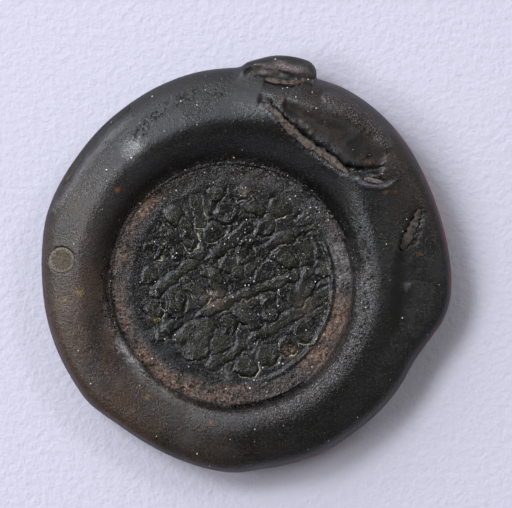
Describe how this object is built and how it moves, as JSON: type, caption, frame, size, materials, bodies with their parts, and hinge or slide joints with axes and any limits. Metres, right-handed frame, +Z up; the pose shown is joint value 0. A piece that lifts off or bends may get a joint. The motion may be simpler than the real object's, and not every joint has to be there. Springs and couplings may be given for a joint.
{
  "type": "coin weight",
  "caption": "Pressed glass coin weight: an uneven fat-rimmed disc with a round sunken stamped field, a raised ring and worn relief, flat underneath, with burial crust in its folds.",
  "frame": {"origin": "underside, below the middle of the weight's bounding box", "axes": "+Z up out of the stamped face, +X to the right and +Y to the top of the pictured view"},
  "size_m": [0.028, 0.0286, 0.0055],
  "materials": {
    "dark_glass": "weathered satin, almost opaque dark olive-brown glass",
    "beige_crust": "matt, earthy burial deposit",
    "pink_crust": "matt, fine pinkish burial deposit",
    "amber_crust": "matt, iron-stained burial deposit"
  },
  "bodies": {
    "root": {"glass_disc": "dark_glass", "fold_crust": "beige_crust", "lip_crust": "pink_crust", "edge_crust": "beige_crust", "tab_crust": "amber_crust", "bubble_crust": "beige_crust"}
  },
  "joints": []
}
